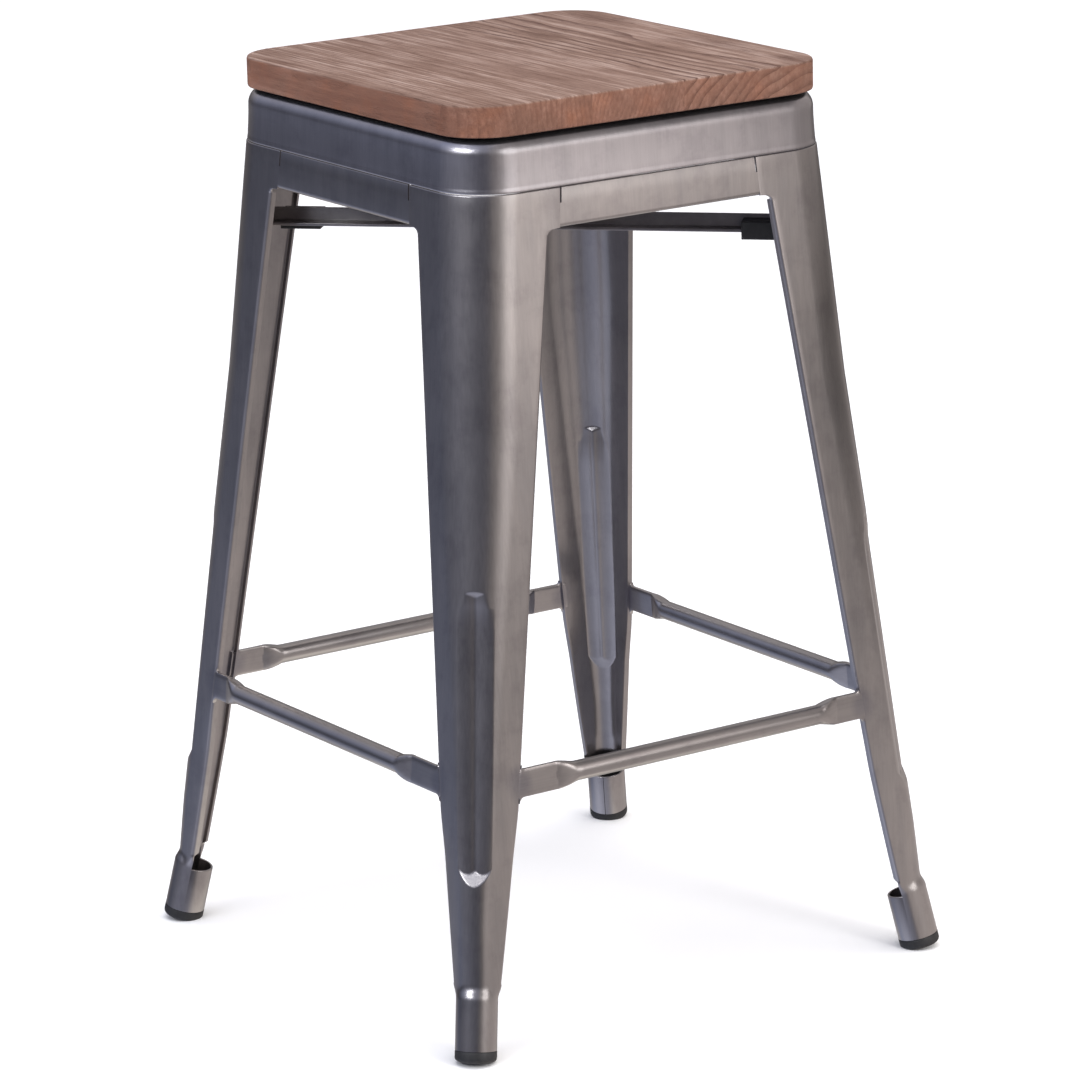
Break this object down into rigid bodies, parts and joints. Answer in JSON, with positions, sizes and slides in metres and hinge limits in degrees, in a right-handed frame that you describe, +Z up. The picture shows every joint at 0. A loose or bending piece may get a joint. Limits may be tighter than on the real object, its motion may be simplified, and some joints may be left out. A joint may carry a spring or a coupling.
{
  "type": "bar stool with footrest",
  "caption": "Backless stool with a square wooden seat on a pressed steel pan, splayed folded-sheet legs, a footrest rail on each side and a crossed brace under the seat.",
  "frame": {"origin": "on the floor under the middle of the seat, the bottom centre of the box around the stool", "axes": "+Z up; +Y towards the back, along the wood grain; +X to the sitter's side, across the staves"},
  "size_m": [0.392, 0.392, 0.61],
  "materials": {
    "seat_wood": "matt oiled elm with open dark grain",
    "clear_coated_steel": "raw rolled steel under satin clear coat, faint vertical brushing",
    "dark_steel": "raw rolled steel under clear coat, darker and unpolished",
    "black_plastic": "matt black moulded plastic",
    "zinc_plated_screw": "bright zinc plate"
  },
  "bodies": {
    "root": {"seat_stave_1": "seat_wood", "seat_stave_2": "seat_wood", "seat_stave_3": "seat_wood", "seat_pan": "clear_coated_steel", "apron_front": "clear_coated_steel", "apron_right": "clear_coated_steel", "apron_back": "clear_coated_steel", "apron_left": "clear_coated_steel", "leg_front_left": "clear_coated_steel", "leg_front_right": "clear_coated_steel", "leg_back_right": "clear_coated_steel", "leg_back_left": "clear_coated_steel", "glide_front_left": "black_plastic", "glide_front_right": "black_plastic", "glide_back_right": "black_plastic", "glide_back_left": "black_plastic", "footrest_rail_front": "clear_coated_steel", "footrest_rail_right": "clear_coated_steel", "footrest_rail_back": "clear_coated_steel", "footrest_rail_left": "clear_coated_steel", "brace_bar_full": "dark_steel", "brace_bar_front": "dark_steel", "brace_bar_back": "dark_steel", "bumper_front_left": "black_plastic", "bumper_front_right": "black_plastic", "bumper_back_right": "black_plastic", "bumper_back_left": "black_plastic", "seat_screw_front_left": "zinc_plated_screw", "seat_screw_front_right": "zinc_plated_screw", "seat_screw_back_right": "zinc_plated_screw", "seat_screw_back_left": "zinc_plated_screw"}
  },
  "joints": []
}
